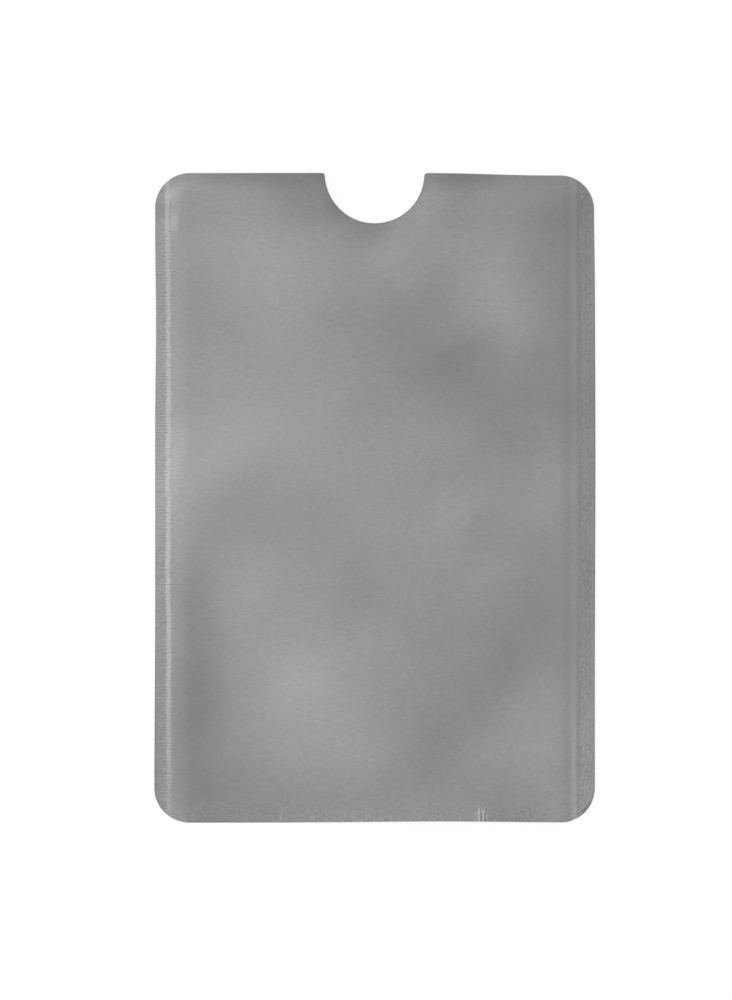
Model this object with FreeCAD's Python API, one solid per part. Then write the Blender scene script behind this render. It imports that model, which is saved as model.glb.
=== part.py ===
# A foil sleeve that holds one bank card and shields it from contactless readers.
#
# Two walls lie face to face, each a laminate of three plies. They are heat-sealed to each other along
# the left, right and bottom edges. The top edge is the open mouth, and a half-round thumb notch is cut
# through both walls there. The pocket stands open by the thickness of a card.
#
# Millimetres. +X is to the right of the front wall, +Y points out of the mouth, and +Z points up out of
# the front wall. The origin is on the plane that the back wall rests on, under the middle of the sleeve.
import FreeCAD, Part
import math
import os

# The card that the sleeve is made for, in the common bank-card format.
CARD_WIDTH = 53.98
CARD_LENGTH = 85.60
CARD_THICKNESS = 0.76

# The room that the pocket leaves beside, above and in front of the card.
CARD_SIDE_PLAY = 0.31
CARD_FACE_PLAY = 0.07
CARD_END_PLAY = 0.80

# The plies of one wall, from the outside in.
OUTER_FILM_THICKNESS = 0.025
SHIELD_FOIL_THICKNESS = 0.020
SEAL_LINER_THICKNESS = 0.080

# The sealed edges: a flat welded strip, then a shoulder where each wall slopes away from the weld.
WELD_THICKNESS = 0.05
SIDE_WELD_WIDTH = 1.6
BOTTOM_WELD_WIDTH = 2.0
SHOULDER_WIDTH = 1.6

# The die-cut outline.
CORNER_RADIUS = 4.8
NOTCH_RADIUS = 7.0
NOTCH_LEAD_RADIUS = 0.4

# How far a cutting block reaches past the edge that it cuts.
CUT_OVERRUN = 1.0

# The pocket follows the card, and the sleeve follows the pocket.
POCKET_WIDTH = CARD_WIDTH + 2 * CARD_SIDE_PLAY
POCKET_LENGTH = CARD_LENGTH + CARD_END_PLAY
POCKET_GAP = CARD_THICKNESS + 2 * CARD_FACE_PLAY
SHOULDER_SPAN = POCKET_WIDTH + 2 * SHOULDER_WIDTH
SLEEVE_WIDTH = SHOULDER_SPAN + 2 * SIDE_WELD_WIDTH
SLEEVE_LENGTH = POCKET_LENGTH + SHOULDER_WIDTH + BOTTOM_WELD_WIDTH

# Levels and edges that several pieces share.
WALL_THICKNESS = OUTER_FILM_THICKNESS + SHIELD_FOIL_THICKNESS + SEAL_LINER_THICKNESS
MID_LEVEL = WALL_THICKNESS + POCKET_GAP / 2
WELD_TOP = MID_LEVEL + WELD_THICKNESS / 2
SHOULDER_RISE = (POCKET_GAP - WELD_THICKNESS) / 2
RIGHT_EDGE = SLEEVE_WIDTH / 2
MOUTH_EDGE = SLEEVE_LENGTH / 2
BOTTOM_EDGE = -MOUTH_EDGE
BOTTOM_WELD_INNER = BOTTOM_EDGE + BOTTOM_WELD_WIDTH
POCKET_BOTTOM = BOTTOM_WELD_INNER + SHOULDER_WIDTH
PAST_MOUTH = MOUTH_EDGE + CUT_OVERRUN

UP = FreeCAD.Vector(0, 0, 1)


def point(x, y, z=0):
    """A point in the sleeve's frame."""
    return FreeCAD.Vector(x, y, z)


def arc(centre_x, centre_y, radius, start_degrees, end_degrees):
    """An arc in the plane of the outline, from one angle to the other, counted from +X towards +Y."""
    def at(degrees):
        angle = math.radians(degrees)
        return point(centre_x + radius * math.cos(angle), centre_y + radius * math.sin(angle))

    middle_degrees = (start_degrees + end_degrees) / 2
    return Part.Arc(at(start_degrees), at(middle_degrees), at(end_degrees)).toShape()


def line(start, end):
    """A straight edge between two points."""
    return Part.LineSegment(start, end).toShape()


def outline_wire():
    """The die-cut outline: four round corners, and the thumb notch with its two rounded lips."""
    corner_x = RIGHT_EDGE - CORNER_RADIUS
    top_corner_y = MOUTH_EDGE - CORNER_RADIUS
    bottom_corner_y = BOTTOM_EDGE + CORNER_RADIUS
    # Each lip is tangent to the mouth edge and to the notch circle, whose centre is on that edge.
    lip_reach = NOTCH_RADIUS + NOTCH_LEAD_RADIUS
    lip_x = math.sqrt(lip_reach ** 2 - NOTCH_LEAD_RADIUS ** 2)
    lip_y = MOUTH_EDGE - NOTCH_LEAD_RADIUS
    lip_degrees = math.degrees(math.asin(NOTCH_LEAD_RADIUS / lip_reach))
    edges = [
        line(point(-corner_x, BOTTOM_EDGE), point(corner_x, BOTTOM_EDGE)),
        arc(corner_x, bottom_corner_y, CORNER_RADIUS, -90, 0),
        line(point(RIGHT_EDGE, bottom_corner_y), point(RIGHT_EDGE, top_corner_y)),
        arc(corner_x, top_corner_y, CORNER_RADIUS, 0, 90),
        line(point(corner_x, MOUTH_EDGE), point(lip_x, MOUTH_EDGE)),
        arc(lip_x, lip_y, NOTCH_LEAD_RADIUS, 90, 180 - lip_degrees),
        arc(0, MOUTH_EDGE, NOTCH_RADIUS, -lip_degrees, lip_degrees - 180),
        arc(-lip_x, lip_y, NOTCH_LEAD_RADIUS, lip_degrees, 90),
        line(point(-lip_x, MOUTH_EDGE), point(-corner_x, MOUTH_EDGE)),
        arc(-corner_x, top_corner_y, CORNER_RADIUS, 90, 180),
        line(point(-RIGHT_EDGE, top_corner_y), point(-RIGHT_EDGE, bottom_corner_y)),
        arc(-corner_x, bottom_corner_y, CORNER_RADIUS, 180, 270),
    ]
    return Part.Wire(edges)


def cut_blank(low_level, height):
    """The outline as a plate that starts at a level."""
    blank = Part.Face(outline_wire()).extrude(UP * height)
    blank.translate(UP * low_level)
    return blank


def block(low_corner, high_corner):
    """A plain box between two corners."""
    size = high_corner - low_corner
    return Part.makeBox(size.x, size.y, size.z, low_corner)


def crown(low_level):
    """What a wall bulges over: a flat top the size of the pocket, with shoulders that slope down to the
    weld on the two sides and at the bottom, running out past the mouth at the top."""
    def rectangle(half_width, bottom_y, level):
        return [
            point(-half_width, bottom_y, level),
            point(half_width, bottom_y, level),
            point(half_width, PAST_MOUTH, level),
            point(-half_width, PAST_MOUTH, level),
        ]

    low = rectangle(SHOULDER_SPAN / 2, BOTTOM_WELD_INNER, low_level)
    high = rectangle(POCKET_WIDTH / 2, POCKET_BOTTOM, low_level + SHOULDER_RISE)
    loops = [low, high]
    for corner in range(len(low)):
        following = (corner + 1) % len(low)
        loops.append([low[corner], low[following], high[following], high[corner]])
    faces = [Part.Face(Part.makePolygon(loop + loop[:1])) for loop in loops]
    return Part.Solid(Part.Shell(faces))


def ply(low_level, thickness):
    """One ply of the front wall: flat over the weld, sloped at the shoulders and flat over the pocket.
    Its inner face meets the next ply, or the weld, at low_level."""
    top_level = low_level + thickness
    flange = cut_blank(low_level, thickness)
    raised = crown(top_level).common(cut_blank(top_level, SHOULDER_RISE))
    return flange.fuse(raised).cut(crown(low_level)).removeSplitter().Solids[0]


def parted_at_folds(sheet):
    """A sheet as four touching solids, parted where it folds: the face over the pocket, and the left,
    right and bottom bands, mitred at the two bottom corners. The sheet bends round the pocket, and each
    of the four lies to one side of it, so the pocket stays open even if each is taken as a convex block."""
    side = POCKET_WIDTH / 2
    reach = SHOULDER_WIDTH + max(SIDE_WELD_WIDTH, BOTTOM_WELD_WIDTH) + CUT_OVERRUN
    far_side = side + reach
    far_bottom = POCKET_BOTTOM - reach
    regions = [
        [(-side, POCKET_BOTTOM), (side, POCKET_BOTTOM), (side, PAST_MOUTH), (-side, PAST_MOUTH)],
        [(-far_side, far_bottom), (-side, POCKET_BOTTOM), (-side, PAST_MOUTH), (-far_side, PAST_MOUTH)],
        [(side, POCKET_BOTTOM), (far_side, far_bottom), (far_side, PAST_MOUTH), (side, PAST_MOUTH)],
        [(-far_side, far_bottom), (far_side, far_bottom), (side, POCKET_BOTTOM), (-side, POCKET_BOTTOM)],
    ]
    low_level = sheet.BoundBox.ZMin - CUT_OVERRUN
    height = sheet.BoundBox.ZLength + 2 * CUT_OVERRUN
    solids = []
    for region in regions:
        corners = [point(x, y, low_level) for x, y in region]
        cutter = Part.Face(Part.makePolygon(corners + corners[:1])).extrude(UP * height)
        solids += sheet.common(cutter).Solids
    return Part.Compound(solids)


def front_wall():
    """The three plies of the front wall, stacked outwards from the weld."""
    liner_level = WELD_TOP
    foil_level = liner_level + SEAL_LINER_THICKNESS
    film_level = foil_level + SHIELD_FOIL_THICKNESS
    return {
        "front_outer_film": parted_at_folds(ply(film_level, OUTER_FILM_THICKNESS)),
        "front_shield_foil": ply(foil_level, SHIELD_FOIL_THICKNESS),
        "front_seal_liner": ply(liner_level, SEAL_LINER_THICKNESS),
    }


def back_wall(front):
    """The back wall: the front wall's plies, mirrored in the plane of the weld."""
    middle = point(0, 0, MID_LEVEL)
    return {name.replace("front", "back"): shape.mirror(middle, UP) for name, shape in front.items()}


def weld_seams():
    """The fused strips between the two liners. The side seams run the whole length, and the bottom seam
    lies between them."""
    low_level = WELD_TOP - WELD_THICKNESS
    blank = cut_blank(low_level, WELD_THICKNESS)
    inner_x = SHOULDER_SPAN / 2
    past_x = RIGHT_EDGE + CUT_OVERRUN
    past_bottom = BOTTOM_EDGE - CUT_OVERRUN
    spans = {
        "left_weld_seam": (-past_x, -inner_x, PAST_MOUTH),
        "right_weld_seam": (inner_x, past_x, PAST_MOUTH),
        "bottom_weld_seam": (-inner_x, inner_x, BOTTOM_WELD_INNER),
    }
    seams = {}
    for name, (from_x, to_x, top_y) in spans.items():
        strip = block(point(from_x, past_bottom, low_level), point(to_x, top_y, WELD_TOP))
        seams[name] = blank.common(strip).Solids[0]
    return seams


def main():
    """Builds every piece and writes one STEP file for each."""
    front = front_wall()
    pieces = {**front, **back_wall(front), **weld_seams()}
    os.makedirs("parts", exist_ok=True)
    for name, shape in pieces.items():
        shape.exportStep(os.path.join("parts", name + ".step"))
        print(f"{name}: solids {len(shape.Solids)}, valid {shape.isValid()}, {shape.Volume:.2f} mm3")
    print(f"sleeve {SLEEVE_WIDTH:.2f} x {SLEEVE_LENGTH:.2f} x {2 * MID_LEVEL:.3f} mm")


main()
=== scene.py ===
# %% [markdown]
# # A foil sleeve for one card
#
# The object is a thin silver sleeve that keeps a bank card from being read by a stranger's reader. Two
# walls of laminated film lie face to face. They are heat-sealed along both sides and the bottom, and the
# top is open, with a round notch for the thumb.
#
# The CAD model says how large each ply is and where it lies. Here every ply gets the shape that a real,
# slightly handled sleeve has, and its finish. Then a plain studio and a camera are put round it.

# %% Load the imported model
import math
from collections import namedtuple

import bmesh
import bpy
import numpy as np
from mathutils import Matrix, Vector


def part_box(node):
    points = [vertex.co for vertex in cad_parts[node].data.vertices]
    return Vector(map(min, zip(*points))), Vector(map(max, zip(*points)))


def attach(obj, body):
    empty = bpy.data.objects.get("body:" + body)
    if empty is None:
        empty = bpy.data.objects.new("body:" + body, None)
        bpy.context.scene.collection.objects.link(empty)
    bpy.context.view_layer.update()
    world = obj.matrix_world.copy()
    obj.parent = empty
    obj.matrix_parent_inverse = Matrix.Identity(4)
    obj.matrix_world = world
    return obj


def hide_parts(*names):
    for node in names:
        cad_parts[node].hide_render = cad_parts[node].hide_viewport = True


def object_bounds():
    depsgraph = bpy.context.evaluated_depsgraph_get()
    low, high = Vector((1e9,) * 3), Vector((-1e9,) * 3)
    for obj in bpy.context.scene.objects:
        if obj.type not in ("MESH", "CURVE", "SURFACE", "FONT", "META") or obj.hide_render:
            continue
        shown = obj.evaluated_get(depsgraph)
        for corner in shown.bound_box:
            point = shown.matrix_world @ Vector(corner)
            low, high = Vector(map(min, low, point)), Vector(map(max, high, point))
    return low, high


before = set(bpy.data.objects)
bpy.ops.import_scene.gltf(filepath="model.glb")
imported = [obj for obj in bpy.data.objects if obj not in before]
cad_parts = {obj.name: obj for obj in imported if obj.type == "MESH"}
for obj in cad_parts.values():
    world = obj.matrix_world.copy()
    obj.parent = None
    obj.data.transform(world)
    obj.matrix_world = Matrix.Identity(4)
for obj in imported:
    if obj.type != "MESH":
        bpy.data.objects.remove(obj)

cad_low, cad_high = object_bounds()
print("CAD nodes:", ", ".join(sorted(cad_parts)))

# %% [markdown]
# ## Sizes
#
# A wall is only an eighth of a millimetre thick, so all shapes are worked out in millimetres and turned
# into Blender's metres when a mesh is made. Typing the sizes in again would let the two models drift
# apart. So the thicknesses, levels and seal widths are read off the boxes of the CAD nodes instead.

# %% Read the sizes off the CAD nodes
MM = 0.001


def node_box(node):
    """A CAD node's lowest and highest corner, in millimetres."""
    low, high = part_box(node)
    return np.array(low) / MM, np.array(high) / MM


film_low, film_high = node_box("front_outer_film")
foil_high = node_box("front_shield_foil")[1]
liner_low, liner_high = node_box("front_seal_liner")
side_seam_low, side_seam_high = node_box("left_weld_seam")
bottom_seam_low, bottom_seam_high = node_box("bottom_weld_seam")

half_width = film_high[0]
bottom_y = film_low[1]
mouth_y = film_high[1]

film_thickness = film_high[2] - foil_high[2]
foil_thickness = foil_high[2] - liner_high[2]
shoulder_rise = film_high[2] - film_low[2] - film_thickness
liner_thickness = liner_high[2] - liner_low[2] - shoulder_rise
wall_thickness = film_thickness + foil_thickness + liner_thickness
weld_top = side_seam_high[2]
weld_bottom = side_seam_low[2]
side_weld = side_seam_high[0] - side_seam_low[0]
bottom_weld = bottom_seam_high[1] - bottom_seam_low[1]

print(f"outline {2 * half_width:.2f} x {mouth_y - bottom_y:.2f} mm, side seal {side_weld:.2f} mm")
print(f"film {film_thickness:.3f}, foil {foil_thickness:.3f}, liner {liner_thickness:.3f} mm")

# %% [markdown]
# ## The blank
#
# Each ply is die-cut to the same outline. A flat face could be cut with a knife tool, but that leaves
# slivers along the curves. Here the blank is a grid instead. Its columns stand closest where an arc is
# steep, and its rows bend near the two ends, so that the first and last row run along the cut edge. All
# plies use this one grid, and so they stay in contact wherever the wall bends. A box doesn't tell the radii
# of an outline, so these three are written down again.

# %% Columns, close together at the arcs and on the side strips
CORNER_RADIUS = 4.8
NOTCH_RADIUS = 7.0
NOTCH_LEAD_RADIUS = 0.4
STRIP_WIDTH = 2.4
EDGE_WIDTH = 0.24
COLUMN_STEP = 1.0
CORNER_STEP = 0.3
STRIP_STEP = 0.12
NOTCH_COLUMNS = 15
LEAD_COLUMNS = 5
EDGE_COLUMNS = 6

corner_x = half_width - CORNER_RADIUS
lip_reach = NOTCH_RADIUS + NOTCH_LEAD_RADIUS
lip_angle = math.asin(NOTCH_LEAD_RADIUS / lip_reach)
lip_x = lip_reach * math.cos(lip_angle)
notch_end_x = NOTCH_RADIUS * math.cos(lip_angle)
edge_angle = math.acos(1 - EDGE_WIDTH / CORNER_RADIUS)


def steps(start, end, count):
    """Evenly spaced values from start up to, but not including, end."""
    return np.linspace(start, end, count, endpoint=False)


def ruled(start, end, step):
    """Values from start up to, but not including, end, about one step apart."""
    return steps(start, end, round((end - start) / step))


right_half = np.concatenate([
    NOTCH_RADIUS * np.sin(steps(0, math.pi / 2 - lip_angle, NOTCH_COLUMNS)),
    lip_x - NOTCH_LEAD_RADIUS * np.cos(steps(lip_angle, math.pi / 2, LEAD_COLUMNS)),
    ruled(lip_x, corner_x, COLUMN_STEP),
    ruled(corner_x, half_width - STRIP_WIDTH, CORNER_STEP),
    ruled(half_width - STRIP_WIDTH, half_width - EDGE_WIDTH, STRIP_STEP),
    corner_x + CORNER_RADIUS * np.cos(steps(edge_angle, 0, EDGE_COLUMNS)),
    [half_width],
])
columns = np.concatenate([-right_half[:0:-1], right_half])
print(f"{len(columns)} columns")

# %% Rows, close together at the bottom seal and the mouth
SEAL_ZONE, SEAL_STEP = 2.0, 0.133
BOTTOM_ZONE, BOTTOM_STEP = 6.0, 0.4
MOUTH_ZONE, MOUTH_STEP = 10.0, 0.5
MIDDLE_STEP = 0.8

rows = np.concatenate([
    ruled(bottom_y, bottom_y + SEAL_ZONE, SEAL_STEP),
    ruled(bottom_y + SEAL_ZONE, bottom_y + BOTTOM_ZONE, BOTTOM_STEP),
    ruled(bottom_y + BOTTOM_ZONE, mouth_y - MOUTH_ZONE, MIDDLE_STEP),
    ruled(mouth_y - MOUTH_ZONE, mouth_y, MOUTH_STEP),
    [mouth_y],
])
print(f"{len(rows)} rows")

# %% Bend the rows along the cut edges
CORNER_BEND_REACH = 12.0
MOUTH_BEND_REACH = 16.0


def smooth(share):
    """A soft step: 0 up to a share of 0, 1 from a share of 1, and level at both ends."""
    share = np.clip(share, 0, 1)
    return share * share * (3 - 2 * share)


def corner_drop(x):
    """How far a round corner lies inside the straight bottom or mouth edge."""
    inside = np.clip(np.abs(x) - corner_x, 0, CORNER_RADIUS)
    return CORNER_RADIUS - np.sqrt(CORNER_RADIUS ** 2 - inside ** 2)


def notch_drop(x):
    """How far the thumb notch, with its two rounded lips, lies inside the mouth edge."""
    x = np.abs(x)
    notch = np.sqrt(np.clip(NOTCH_RADIUS ** 2 - x ** 2, 0, None))
    lead = NOTCH_LEAD_RADIUS - np.sqrt(np.clip(NOTCH_LEAD_RADIUS ** 2 - (x - lip_x) ** 2, 0, None))
    return np.where(x < notch_end_x, notch, np.where(x < lip_x, lead, 0))


flat_x, ruled_y = np.meshgrid(columns, rows, indexing="ij")
near_bottom = 1 - smooth((ruled_y - bottom_y) / CORNER_BEND_REACH)
near_mouth = 1 - smooth((mouth_y - ruled_y) / MOUTH_BEND_REACH)
bottom_lift = corner_drop(flat_x) * near_bottom
mouth_cut = (corner_drop(flat_x) + notch_drop(flat_x)) * near_mouth
flat_y = ruled_y + bottom_lift - mouth_cut
print(f"lowest point of the notch at y {flat_y[len(right_half) - 1, -1]:.2f} mm")

# %% [markdown]
# A sleeve is cut by the thousand, and its edges are never quite straight. The mouth falls a third of a
# millimetre to the right of the notch, and the sides, the bottom and the notch are off by a tenth or two.
# Moving the grid's own points would blur its rules. So these small errors are kept apart from the grid, as
# a shift that is added to every finished ply.

# %% The cutter's small errors
MOUTH_FALL, MOUTH_FALL_RUN = 0.33, 17.0
NOTCH_SHIFT, NOTCH_SHIFT_END = 0.18, 14.0
NOTCH_RAISE, NOTCH_RAISE_AT, NOTCH_RAISE_WIDTH = 0.10, 2.0, 3.0
BOTTOM_OVERLENGTH = 0.08
BOTTOM_BOW, BOTTOM_BOW_AT, BOTTOM_BOW_WIDTH = 0.18, 9.0, 14.0
LEFT_OVERWIDTH = 0.02
RIGHT_OVERWIDTH = 0.05
LEFT_DENT, LEFT_DENT_AT, LEFT_DENT_LENGTH = 0.12, 24.0, 8.0
LEFT_FLARE, LEFT_FLARE_AT, LEFT_FLARE_RUN = 0.12, -14.0, 28.0
RIGHT_BOW, RIGHT_BOW_AT, RIGHT_BOW_LENGTH = 0.09, 5.0, 20.0
RIGHT_TAPER, RIGHT_TAPER_AT, RIGHT_TAPER_RUN = 0.10, 28.0, 12.0


def hump(value, middle, width):
    """1 at the middle, falling to 0 on both sides."""
    return np.exp(-((value - middle) / width) ** 2)


def side_error(x, y):
    """How far the cut is off to the side at the left or the right edge."""
    left = LEFT_DENT * hump(y, LEFT_DENT_AT, LEFT_DENT_LENGTH) - LEFT_OVERWIDTH
    left = left - LEFT_FLARE * smooth((LEFT_FLARE_AT - y) / LEFT_FLARE_RUN)
    right = RIGHT_OVERWIDTH + RIGHT_BOW * (hump(y, RIGHT_BOW_AT, RIGHT_BOW_LENGTH) - 1)
    right = right - RIGHT_TAPER * smooth((y - RIGHT_TAPER_AT) / RIGHT_TAPER_RUN)
    return np.where(x < 0, left, right)


def cutting_error(x, y):
    """How far a point of the blank lies from its true place, in X and in Y."""
    mouth_share = smooth((y - mouth_y + MOUTH_BEND_REACH) / MOUTH_BEND_REACH)
    bottom_share = smooth((bottom_y + CORNER_BEND_REACH - y) / CORNER_BEND_REACH)
    side_share = smooth((np.abs(x) - corner_x) / CORNER_RADIUS)
    fall = MOUTH_FALL * smooth((x - lip_x) / MOUTH_FALL_RUN)
    fall = (fall - NOTCH_RAISE * hump(x, NOTCH_RAISE_AT, NOTCH_RAISE_WIDTH)) * mouth_share
    bow = BOTTOM_BOW * hump(x, BOTTOM_BOW_AT, BOTTOM_BOW_WIDTH) - BOTTOM_OVERLENGTH
    notch = NOTCH_SHIFT * smooth(x / NOTCH_RADIUS) * smooth((NOTCH_SHIFT_END - x) / NOTCH_RADIUS)
    return side_error(x, y) * side_share - notch * mouth_share, bow * bottom_share - fall


print(f"largest error at the mouth {-cutting_error(corner_x, mouth_y)[1]:.2f} mm")

# %% [markdown]
# ## The shape of a wall
#
# The seal bar presses a flat strip along each side and the bottom. On the empty sleeve the pocket is hardly
# higher than these strips: the front wall climbs three tenths of a millimetre to its middle. Curves could
# be lofted for this, but a height that depends on the distance from each edge is easier to change, and it
# works for every ply at once. No climb is the same all along its seal. So each can be given a strength that
# is more or less at a spot, or changes on the way to one end.

# %% Climbs, and how they vary along a seal
def edge_distances(x, y):
    """How far a point is from the left, right and bottom edges."""
    return x + half_width, half_width - x, y - bottom_y


def climbed(place, start, end):
    """0 up to the start and 1 from the end on, which may lie to either side of the start."""
    return smooth((place - start) / (end - start))


class Climb(namedtuple("Climb", "name rise start end")):
    """A rise between two distances from an edge."""

    def share(self, distance):
        return climbed(distance, self.start, self.end)


class Spot(namedtuple("Spot", "more y length")):
    """More, or less if negative, round one place along a seal."""

    def share(self, y):
        return hump(y, self.y, self.length)


class Change(namedtuple("Change", "more start end")):
    """More, or less if negative, from one place along a seal to its end."""

    def share(self, y):
        return climbed(y, self.start, self.end)


def along_seal(y, usual, variations):
    """A value along a seal: what is usual, and what its spots and changes add to it."""
    value = usual
    for variation in variations:
        value = value + variation.more * variation.share(y)
    return value


print(f"a climb over the side seal is {climbed(side_weld / 2, 0, side_weld):.0%} done at the seal's middle")

# %% [markdown]
# On the left a narrow ridge stands beside the seal, and a broad, low pillow follows it. A bevel would make
# the ridge too even: the real one wanders, fades towards the mouth and the bottom, and has short feet on
# its inner side. So its place and its strength both vary along the seal.

# %% The left side
LEFT_CLIMBS = [
    Climb("foot of the ridge", 0.030, 1.6, 4.5),
    Climb("pillow", 0.14, 6.0, 32.0),
]
LEFT_RIDGE = Climb("ridge", 0.060, 1.38, 2.2)
RIDGE_USUAL = 1.15
RIDGE_FACE = [Change(-0.35, -22, -34), Change(-0.3, -35, -42), Change(-0.15, 12, 22)]
RIDGE_DROP = [
    Spot(0.25, -4, 9), Change(-0.15, 12, 22), Spot(-0.2, 33, 5),
    Change(-0.2, -24, -34), Change(-0.55, -35, -42),
]
RIDGE_WAVES = [(0.04, 17), (0.03, 5.3)]
RIDGE_WANDER = [Spot(0.06, -8, 6), Change(0.1, 18, 28), Change(-0.07, -10, -16), Change(-0.08, -24, -32)]
LEFT_FEET = [
    (Climb("soft foot above the middle", 0.014, 1.9, 3.2), Spot(1, 6, 11)),
    (Climb("patch at the top left, lower", 0.045, 2.0, 3.3), Spot(1, 39.0, 1.8)),
    (Climb("patch at the top left, upper", 0.042, 1.8, 3.6), Spot(1, 42.4, 1.2)),
]
LEFT_STRIP = Climb("tilt of the left strip", -0.02, 0.0, 1.5)
LEFT_STRIP_TILT = [Spot(1, -28, 9), Change(1, -30, -36), Spot(0.8, 40, 6), Spot(-0.5, 3, 9)]


def wave(along, length, start=0.0):
    """A wave between -1 and 1 with a given length."""
    return np.sin(2 * np.pi * along / length + start)


def ridge_height(left, y):
    """The ridge beside the left seal. The face has its own level, and the strip lies lower than that."""
    face = along_seal(y, RIDGE_USUAL, RIDGE_FACE)
    drop = along_seal(y, RIDGE_USUAL, RIDGE_DROP)
    waves = sum(size * wave(y, length) for size, length in RIDGE_WAVES)
    inside = LEFT_RIDGE.share(left + along_seal(y, waves, RIDGE_WANDER))
    return LEFT_RIDGE.rise * (face + drop * (inside - 1))


def ridge_feet(left, y):
    """Short slopes on the inner side of the ridge. They lower the strip, and leave the face where it is."""
    return sum(foot.rise * spot.share(y) * (foot.share(left) - 1) for foot, spot in LEFT_FEET)


def left_strip_tilt(left, y):
    """The left strip tilts outwards above the middle, and inwards near the mouth and the bottom."""
    strength = along_seal(y, 0, LEFT_STRIP_TILT)
    return LEFT_STRIP.rise * strength * (LEFT_STRIP.share(left) - 1)


left_parts = [LEFT_STRIP, LEFT_RIDGE, *LEFT_CLIMBS]
print("from the left edge:", ", ".join(part.name for part in left_parts), f"and {len(LEFT_FEET)} short feet")

# %% [markdown]
# On the right the wall leaves the seal in a soft shoulder with two faint steps and a thin bead between
# them. The sealed strip itself tilts outwards. Towards the bottom corner the first step fades, the strip
# lies flatter, and the bead stands out more.

# %% The right side
RIGHT_STEP = Climb("first step", 0.024, 1.8, 2.5)
RIGHT_STEP_FADE = Change(0.4, -30, -35)
RIGHT_CLIMBS = [
    Climb("second step", 0.015, 3.3, 4.6),
    Climb("pillow", 0.06, 2.0, 30.0),
]
RIGHT_BEAD = Climb("bead", -0.009, 2.6, 3.2)
RIGHT_BEAD_STRENGTH = [Change(1.3, -24, -36), Spot(-0.6, -11, 11)]
RIGHT_STRIP = Climb("tilt of the sealed strip", 0.036, 0.0, 2.3)
RIGHT_STRIP_TILT = [Spot(1.7, -11, 12), Spot(-0.4, -34, 6), Spot(0.9, 31, 7), Spot(1.7, 42, 4)]
RIGHT_STRIP_FLATTER = Change(0.6, -24, -32)
RIGHT_SHOULDER = 0.14
RIGHT_SHOULDER_REACH = 4.0
RIGHT_SHOULDER_STRENGTH = [Change(-0.45, -20, -36)]


def shoulder_height(right, y):
    """The soft shoulder, which is lower towards the bottom."""
    shoulder = RIGHT_SHOULDER * along_seal(y, 1, RIGHT_SHOULDER_STRENGTH)
    return shoulder * (1 - np.exp(-right / RIGHT_SHOULDER_REACH))


def strip_tilt(right, y):
    """The right strip tilts outwards, and more so below the middle and towards the mouth."""
    strength = along_seal(y, 1, RIGHT_STRIP_TILT)
    return RIGHT_STRIP.rise * strength * RIGHT_STRIP.share(right)


def step_height(right, y):
    """The first step beside the right seal. Near the bottom corner it fades, and the strip lies flatter."""
    step = RIGHT_STEP.share(right)
    strip = RIGHT_STRIP.share(right)
    fading = RIGHT_STEP_FADE.more * RIGHT_STEP_FADE.share(y) * RIGHT_STEP.rise * (1 - step)
    flatter = RIGHT_STRIP_FLATTER.more * RIGHT_STRIP_FLATTER.share(y) * RIGHT_STRIP.rise * (1 - strip)
    return RIGHT_STEP.rise * step + fading + flatter


def bead_height(right, y):
    """The bead beside the right seal."""
    strength = along_seal(y, 1, RIGHT_BEAD_STRENGTH)
    return RIGHT_BEAD.rise * strength * RIGHT_BEAD.share(right)


right_parts = [RIGHT_STRIP, RIGHT_STEP, RIGHT_BEAD, *RIGHT_CLIMBS]
print("from the right edge:", ", ".join(part.name for part in right_parts), "and the shoulder")

# %% Both sides together
def side_height(x, y):
    """The height of the front wall between its two side edges, which both lie near 0."""
    left, right, _ = edge_distances(x, y)
    height = shoulder_height(right, y)
    height = height + strip_tilt(right, y) + step_height(right, y) + bead_height(right, y)
    height = height + ridge_height(left, y) - LEFT_RIDGE.rise + left_strip_tilt(left, y)
    height = height + ridge_feet(left, y)
    for part in LEFT_CLIMBS:
        height = height + part.rise * (part.share(left) - 1)
    for part in RIGHT_CLIMBS:
        height = height + part.rise * part.share(right)
    return height


print(f"the front wall climbs {side_height(np.array(0.0), np.array(0.0)):.3f} mm to its middle")

# %% [markdown]
# The sleeve has been carried in a wallet, and it has kept a slight bend along its length: the mouth and the
# bottom stand a few tenths of a millimetre higher than the middle. A bend modifier could do this to the
# finished pieces. Here the bend is one more height, so that the seams follow it by themselves.

# %% Bend along the length
BEND_Y = 11.0
MOUTH_LIFT = 0.36
BOTTOM_LIFT = 0.40


def bend(y):
    """How far the sleeve's own bend lifts it."""
    to_mouth = np.clip((y - BEND_Y) / (mouth_y - BEND_Y), 0, None)
    to_bottom = np.clip((y - BEND_Y) / (bottom_y - BEND_Y), 0, None)
    return MOUTH_LIFT * to_mouth ** 2 + BOTTOM_LIFT * to_bottom ** 2


print(f"the bend lifts the mouth {bend(mouth_y):.2f} mm and the bottom {bend(bottom_y):.2f} mm")

# %% [markdown]
# The empty pocket is limp. Handling has left soft swells and hollows in it, some ten millimetres across,
# and the silver film shows each of them as a light or dark patch. A cloth simulation would give swells too,
# but other ones. So each is placed one by one, as a hill whose two flanks, before and after its crest, can
# differ: the steeper flank gives the stronger patch. These swells stop short of the side seals, which hold
# the wall straight.

# %% One swell
FLANK_BLEND = 0.25
EXPONENT_LIMIT = 50
LEFT_FADE, RIGHT_FADE = 4.0, 7.0

Swell = namedtuple("Swell", "name at before after across turn rise")


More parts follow.
